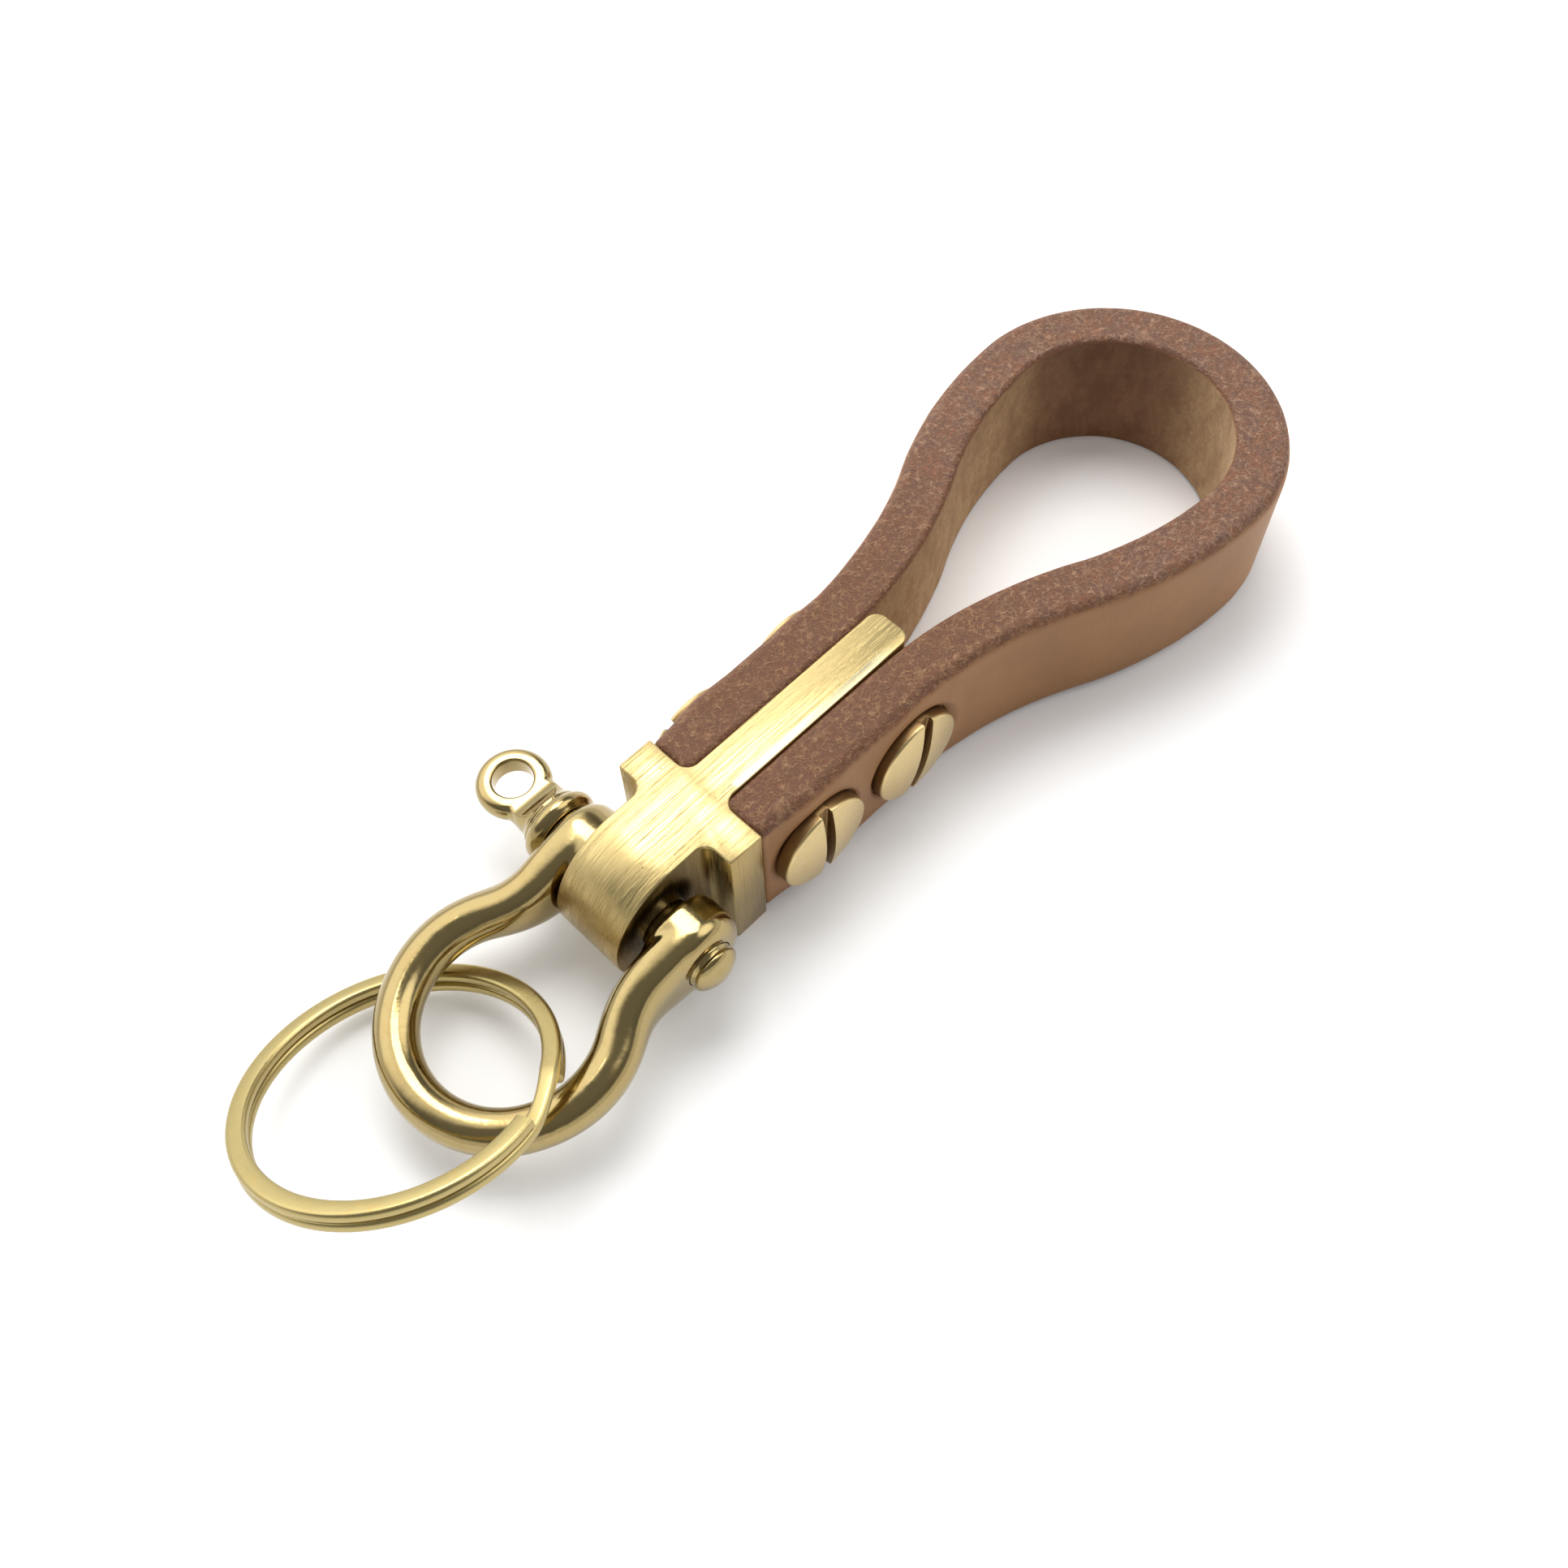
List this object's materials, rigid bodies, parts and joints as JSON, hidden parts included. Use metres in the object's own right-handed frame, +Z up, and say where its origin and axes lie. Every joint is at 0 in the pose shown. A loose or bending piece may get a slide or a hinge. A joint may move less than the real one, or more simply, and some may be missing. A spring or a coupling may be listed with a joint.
{
  "type": "keychain",
  "caption": "Folded leather strap clamped to a brass block by slotted screw posts, with a bow shackle on a screw pin and a split ring for keys.",
  "frame": {"origin": "on the underside of the block, in its middle plane, where the flange meets the tongue", "axes": "+X from the block to the strap's loop, +Y to the eye of the shackle's pin, +Z up from the table"},
  "size_m": [0.1249, 0.0373, 0.0151],
  "materials": {
    "brushed_brass": "solid brass with straight brush lines, satin",
    "leather": "thick tan harness leather, waxed, edges burnished round",
    "satin_brass": "pale turned brass, satin",
    "polished_brass": "cast brass, polished, slightly aged",
    "ring_brass": "drawn flat brass wire, satin"
  },
  "bodies": {
    "holder": {"connector_block": "brushed_brass", "leather_strap": "leather", "front_screw_post": "satin_brass", "rear_screw_post": "satin_brass", "front_screw": "satin_brass", "rear_screw": "satin_brass"},
    "shackle": {"shackle_bow": "polished_brass"},
    "pin": {"shackle_pin": "polished_brass"},
    "ring": {"key_ring": "ring_brass"}
  },
  "joints": [
    {"name": "shackle_swing", "type": "hinge", "parent": "holder", "child": "shackle", "pos_m": [-0.0095, -0.0004, 0.0075], "axis": [0, 1, 0], "range_deg": [-100, 100]},
    {"name": "pin_turn", "type": "hinge", "parent": "shackle", "child": "pin", "pos_m": [-0.0095, -0.0004, 0.0075], "axis": [0, 1, 0], "range_deg": [0, 360]},
    {"name": "ring_swing", "type": "hinge", "parent": "shackle", "child": "ring", "pos_m": [-0.03305, 0.00529, 0.00565], "axis": [-0.8196, 0.5693, -0.0645], "range_deg": [0, 90]}
  ]
}
